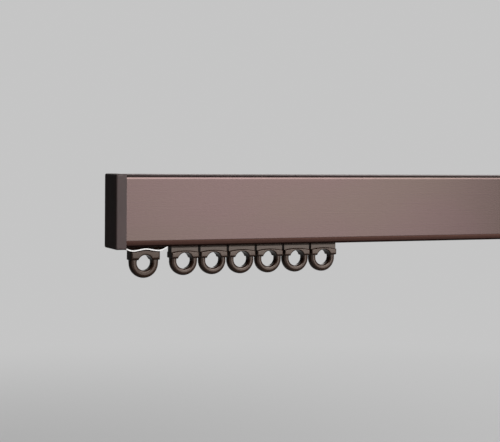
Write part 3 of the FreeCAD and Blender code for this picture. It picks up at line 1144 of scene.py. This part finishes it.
@dataclass
class EndStop:
    """A fixed end stop: head in the rail, block with a wavy foot, wave spring, saddle and ring eye."""

    end: End
    eye: Eye = Eye(hole_radius=3.65, outer_radius=6.9, hole_level=-40.65, outer_level=-40.92, outer_round=1.6)
    rail_bottom: float = -33.0
    flange_top: float = -31.4
    block_length: float = 20.8
    neck_width: float = 4.6
    band: Band = Band(length=14.3, width=7.0, top_edge=0.9, foot_edge=1.2, end_edge=1.2, columns=64)
    foot_drop: float = 6.4
    post_length: float = 7.0
    post_width: float = 2.6
    head_top_round: float = 1.5
    spring_width: float = 7.2
    spring_thickness: float = 0.6
    end_run: float = 4.3
    end_drop: float = 0.5
    valley_drop: float = 2.0
    crown_drop: float = 1.2
    seat_gap: float = 0.05
    window_gap: float = 0.2
    ring_root: float = 1.2
    lap: float = 0.5

    @property
    def x(self) -> float:
        """The left stop's middle along the rail. The right one is its mirror image."""
        low, high = box_mm("stop_spring_left")
        return (low.x + high.x) / 2

    @property
    def foot(self) -> float:
        """The level of the saddle's foot."""
        return self.rail_bottom - self.foot_drop

    @property
    def seat(self) -> float:
        """How far above the wave line the moulding ends, over the spring."""
        return self.spring_thickness / 2 + self.seat_gap

    def wave(self, dx: float) -> float:
        """The height of the wave line at a distance from the stop's middle.

        Args:
            dx: the distance along the rail, to either side.

        Returns:
            The level of the spring's middle there.
        """
        valley = self.block_length / 2 - self.end_run
        reach = abs(dx)
        if reach <= valley:
            swing = (self.valley_drop - self.crown_drop) / 2
            drop = self.crown_drop + swing * (1 - math.cos(math.pi * reach / valley))
        else:
            share = (reach - valley) / self.end_run
            drop = self.valley_drop - (self.valley_drop - self.end_drop) * (1 - math.cos(share * math.pi / 2))
        return self.rail_bottom - drop

    def block(self) -> Piece:
        """The block in the slot, with the wave at its foot.

        Returns:
            The block as an object.
        """
        half, side = self.block_length / 2, self.neck_width / 2
        draft = Draft()
        draft.block((self.x - half, -side, self.foot), (self.x + half, side, self.flange_top + 2 * self.lap))
        draft.score_in_columns(self.x - half, self.x + half, self.band.columns)
        for vert in draft.bm.verts:
            if vert.co.z < self.foot + TOUCH:
                vert.co.z = self.wave(vert.co.x - self.x) + self.seat
        return draft.write("stop_block")

    def head(self) -> Piece:
        """The head that rests on the rail's flanges.

        Returns:
            The head as an object.
        """
        low, high = box_mm("stop_left")
        draft = Draft()
        draft.block((low.x, low.y, self.flange_top), (high.x, high.y, high.z))
        draft.round_edges(draft.edges_along("y", z=high.z), self.head_top_round, segments=6)
        return draft.write("stop_head")

    def saddle(self) -> Piece:
        """The band over the eye, with the wave at its top and rounded sides and ends.

        Returns:
            The saddle as an object.
        """
        crown = self.rail_bottom - self.crown_drop - self.seat
        saddle = self.band.lay("stop_saddle", self.x, self.foot, crown,
                               lambda x: self.wave(x - self.x) - self.seat - crown)
        self.band.round_ends(saddle, self.x, self.foot, crown)
        return saddle

    def post(self, room: float, foot: float, top: float) -> Piece:
        """The post through the spring's window, or with room around it the window's space.

        Args:
            room: how much it is larger on every side.
            foot: its lowest level.
            top: its highest level.

        Returns:
            The post as an object.
        """
        half, side = self.post_length / 2 + room, self.post_width / 2 + room
        draft = Draft()
        draft.block((self.x - half, -side, foot), (self.x + half, side, top))
        return draft.write("stop_post")

    def build_body(self) -> Piece:
        """Joins the stop's forms into one moulding at the left end, and mirrors it for the right one.

        Returns:
            The moulding as an object.
        """
        body = self.head()
        join(body, self.block(), Join.ADD)
        join(body, self.post(0, self.foot + self.lap, self.flange_top + self.lap), Join.ADD)
        join(body, self.saddle(), Join.ADD)
        join(body, self.eye.ring(self.x, self.foot + self.ring_root, self.band.inner_half), Join.ADD)
        join(body, self.eye.bore(self.x, self.band.width, self.eye.saddle_round), Join.CUT)
        return self.at_end(body, f"stop_{self.end.label}_moulding")

    def build_spring(self) -> Piece:
        """The wave spring, a thin strip with a window for the stop's post.

        Returns:
            The spring as an object.
        """
        half = self.block_length / 2
        draft = Draft()
        draft.block((self.x - half, -self.spring_width / 2, -self.spring_thickness / 2),
                    (self.x + half, self.spring_width / 2, self.spring_thickness / 2))
        draft.score_in_columns(self.x - half, self.x + half, self.band.columns)
        for vert in draft.bm.verts:
            vert.co.z += self.wave(vert.co.x - self.x)
        strip = draft.write("spring_strip")
        join(strip, self.post(self.window_gap, self.foot, self.rail_bottom + PAST), Join.CUT)
        return self.at_end(strip, f"stop_spring_{self.end.label}_strip")

    def at_end(self, piece: Piece, name: str) -> Piece:
        """Names a piece, mirrors it if it belongs to the right end, and shades it.

        Args:
            piece: the object, built at the left end.
            name: its name.

        Returns:
            The same object.
        """
        if self.end is End.RIGHT:
            mirror(piece)
        piece.name = name
        piece.data.name = name
        polish(piece)
        return piece

    def make(self, palette: Palette) -> None:
        """Builds and places the stop and its spring.

        Args:
            palette: the finishes.
        """
        label = self.end.label
        place(self.build_body(), "track", Slot.RUNNER, palette.stop, f"stop_{label}")
        steel = palette.materials[Slot.SPRING]
        place(self.build_spring(), "track", Slot.SPRING, steel, f"stop_spring_{label}")


@dataclass(frozen=True)
class Lamp:
    """A soft rectangular lamp aimed at a point, with angles in degrees and lengths in metres."""

    name: str
    azimuth: float
    elevation: float
    distance: float
    width: float
    height: float
    radiance: float
    in_reflections: bool = True

    def make(self, target: Vector) -> None:
        """Makes the lamp.

        Args:
            target: the point that it faces. Azimuth 0 is in front of it and 90 to its right.
        """
        turn, rise = math.radians(self.azimuth), math.radians(self.elevation)
        away = Vector((math.sin(turn) * math.cos(rise), -math.cos(turn) * math.cos(rise), math.sin(rise)))
        light = bpy.data.lights.new(self.name, "AREA")
        light.shape = "RECTANGLE"
        light.size, light.size_y = self.width, self.height
        light.energy = self.radiance * math.pi * self.width * self.height
        lamp = add_object(self.name, light)
        lamp.location = target + away * self.distance
        lamp.rotation_mode = "QUATERNION"
        lamp.rotation_quaternion = (-away).to_track_quat("-Z", "Y")
        lamp.visible_camera = False
        lamp.visible_glossy = self.in_reflections


@dataclass(frozen=True)
class Studio:
    """Camera, lamps, pale surroundings and floor.

    Angles are in degrees and lengths in metres, apart from the camera's lens and sensor in millimetres.
    """

    lens: float = 92.6
    sensor: float = 36.0
    clip: Span = (0.01, 100.0)
    camera_place: Vector = Vector((-0.34106, -0.55984, 0.01268))
    camera_yaw: float = 24.138
    camera_pitch: float = -3.254
    camera_roll: float = 0.686
    target: Vector = Vector((-0.06, -0.0085, -0.02))
    floor_level: float = -0.32
    floor_size: float = 30.0
    floor_tone: float = 0.62
    floor_shade: float = 0.11
    pale: float = 0.56
    mirrored_pale: float = 0.24
    mirrored_room: float = 0.08
    backdrop_edge: Span = (0.1, 0.6)
    ambient: float = 0.30
    flag_azimuth: float = -115.0
    flag_edge: Span = (0.30, 0.70)
    flag_level: float = 0.03
    ceiling_edge: Span = (0.70, 0.92)
    ceiling_level: float = 0.90
    fade_range: Span = (0.5, 1.6)
    mirrored_floor: float = 0.34
    shine_range: Span = (0.5, 1.0)
    lamps: tuple[Lamp, ...] = (
        Lamp("front_softbox", 23.2, 6, 1.3, 0.74, 0.70, 1.15),
        Lamp("front_strip", 20, 37.0, 1.2, 1.2, 0.60, 2.7),
        Lamp("front_fill", 48, 22, 1.5, 1.2, 1.0, 6.5, in_reflections=False),
        Lamp("rear_softbox", 140, 15, 1.4, 1.2, 0.9, 0.8),
    )

    def make_camera(self) -> None:
        """Puts the camera where the photograph was taken from."""
        camera = bpy.data.cameras.new("photo_camera")
        camera.lens = self.lens
        camera.sensor_width = self.sensor
        camera.clip_start, camera.clip_end = self.clip
        holder = add_object("photo_camera", camera)
        level = Matrix.Rotation(math.pi / 2, 4, "X")
        yaw = Matrix.Rotation(-math.radians(self.camera_yaw), 4, "Z")
        pitch = Matrix.Rotation(math.radians(self.camera_pitch), 4, "X")
        roll = Matrix.Rotation(math.radians(self.camera_roll), 4, "Z")
        holder.matrix_world = Matrix.Translation(self.camera_place) @ yaw @ pitch @ level @ roll
        bpy.context.scene.camera = holder

    def beside_flag(self, graph: Graph, direction: Socket) -> Socket:
        """How light a direction is beside the dark flag that stands at the left.

        Args:
            graph: the node tree that the nodes go in.
            direction: the direction.

        Returns:
            A level from the flag's own to 1.
        """
        turn = math.radians(self.flag_azimuth)
        flag = graph.add("ShaderNodeVectorMath", {0: direction, 1: (math.sin(turn), -math.cos(turn), 0.0)},
                         operation="DOT_PRODUCT").outputs["Value"]
        return graph.map_range(flag, *self.flag_edge, 1.0, self.flag_level)

    def flagged(self, graph: Graph) -> Socket:
        """How light the surroundings are by direction, beside the dark flag and below the dim ceiling.

        Args:
            graph: the world's node tree.

        Returns:
            A level from 0 to 1.
        """
        direction = graph.add("ShaderNodeTexCoord").outputs["Generated"]
        beside = self.beside_flag(graph, direction)
        rise = graph.add("ShaderNodeSeparateXYZ", {"Vector": direction}).outputs["Z"]
        above = graph.map_range(rise, *self.ceiling_edge, 1.0, self.ceiling_level)
        return graph.math("MULTIPLY", beside, above)

    def mirrored(self, graph: Graph) -> Socket:
        """What shows in reflections: the pale backdrop behind the object and the dim room around it.

        Args:
            graph: the world's node tree.

        Returns:
            A strength.
        """
        direction = graph.add("ShaderNodeTexCoord").outputs["Generated"]
        turn = math.radians(self.camera_yaw)
        ahead = graph.add("ShaderNodeVectorMath", {0: direction, 1: (math.sin(turn), math.cos(turn), 0.0)},
                          operation="DOT_PRODUCT").outputs["Value"]
        return graph.map_range(ahead, *self.backdrop_edge, self.mirrored_room, self.mirrored_pale)

    def make_world(self) -> None:
        """Pale surroundings, with a weaker light on the object."""
        world = bpy.data.worlds.new("pale_studio")
        world.use_nodes = True
        graph = Graph(world.node_tree)
        path = graph.add("ShaderNodeLightPath").outputs
        level = graph.mix(path["Is Glossy Ray"], self.ambient, self.mirrored(graph))
        lit = graph.math("MULTIPLY", level, self.flagged(graph))
        strength = graph.mix(path["Is Camera Ray"], lit, self.pale)
        background = graph.add("ShaderNodeBackground", {"Color": WHITE, "Strength": strength})
        graph.add("ShaderNodeOutputWorld", {"Surface": background.outputs["Background"]})
        bpy.context.scene.world = world

    def make_floor(self) -> None:
        """A wide pale floor that fades into the surroundings with distance and keeps the track's shadow.

        Reflections show it dim below the track, and paler further out beside the flag.
        """
        bm = bmesh.new()
        lift = Matrix.Translation((0, 0, self.floor_level))
        bmesh.ops.create_circle(bm, cap_ends=True, segments=64, radius=self.floor_size, matrix=lift)
        mesh = bpy.data.meshes.new("studio_floor")
        bm.to_mesh(mesh)
        bm.free()
        floor = add_object("studio_floor", mesh)
        material = bpy.data.materials.new("pale_floor")
        material.use_nodes = True
        graph = Graph(material.node_tree)
        coordinates = graph.add("ShaderNodeTexCoord").outputs["Object"]
        distance = graph.add("ShaderNodeVectorMath", {0: coordinates}, operation="LENGTH").outputs["Value"]
        outward = graph.add("ShaderNodeVectorMath", {0: coordinates}, operation="NORMALIZE").outputs["Vector"]
        fade = graph.map_range(distance, *self.fade_range, 0.0, 1.0)
        shine = graph.map_range(distance, *self.shine_range, 0.0, 1.0)
        path = graph.add("ShaderNodeLightPath").outputs
        seen = path["Is Camera Ray"]
        mirrored = graph.math("MULTIPLY", path["Is Glossy Ray"], self.beside_flag(graph, outward))
        tone = graph.mix(seen, self.floor_shade, self.floor_tone)
        colour = graph.add("ShaderNodeCombineColor", {0: tone, 1: tone, 2: tone}).outputs["Color"]
        matte = graph.add("ShaderNodeBsdfDiffuse", {"Color": colour}).outputs[0]
        strength = graph.mix(seen, self.mirrored_floor, self.pale)
        glow = graph.add("ShaderNodeEmission", {"Color": WHITE, "Strength": strength}).outputs[0]
        factor = graph.mix(seen, graph.math("MULTIPLY", shine, mirrored), fade)
        mixed = graph.add("ShaderNodeMixShader", {0: factor, 1: matte, 2: glow}).outputs[0]
        graph.add("ShaderNodeOutputMaterial", {"Surface": mixed})
        mesh.materials.append(material)

    def make(self) -> None:
        """Sets the whole studio up."""
        self.make_camera()
        self.make_world()
        self.make_floor()
        for lamp in self.lamps:
            lamp.make(self.target)
        bpy.context.scene.view_settings.view_transform = "Standard"


def main() -> None:
    """Builds the studio and the track's sub-assemblies in order."""
    logging.basicConfig(level=logging.INFO, format="%(name)s %(message)s")
    Studio().make()
    palette = Palette.build()
    rail = Rail.from_frame()
    rail.make(palette)
    for end in End:
        EndCap(end, rail).make(palette)
        EndStop(end).make(palette)
    RunnerRow().make(palette)


if __name__ == "__main__":
    main()
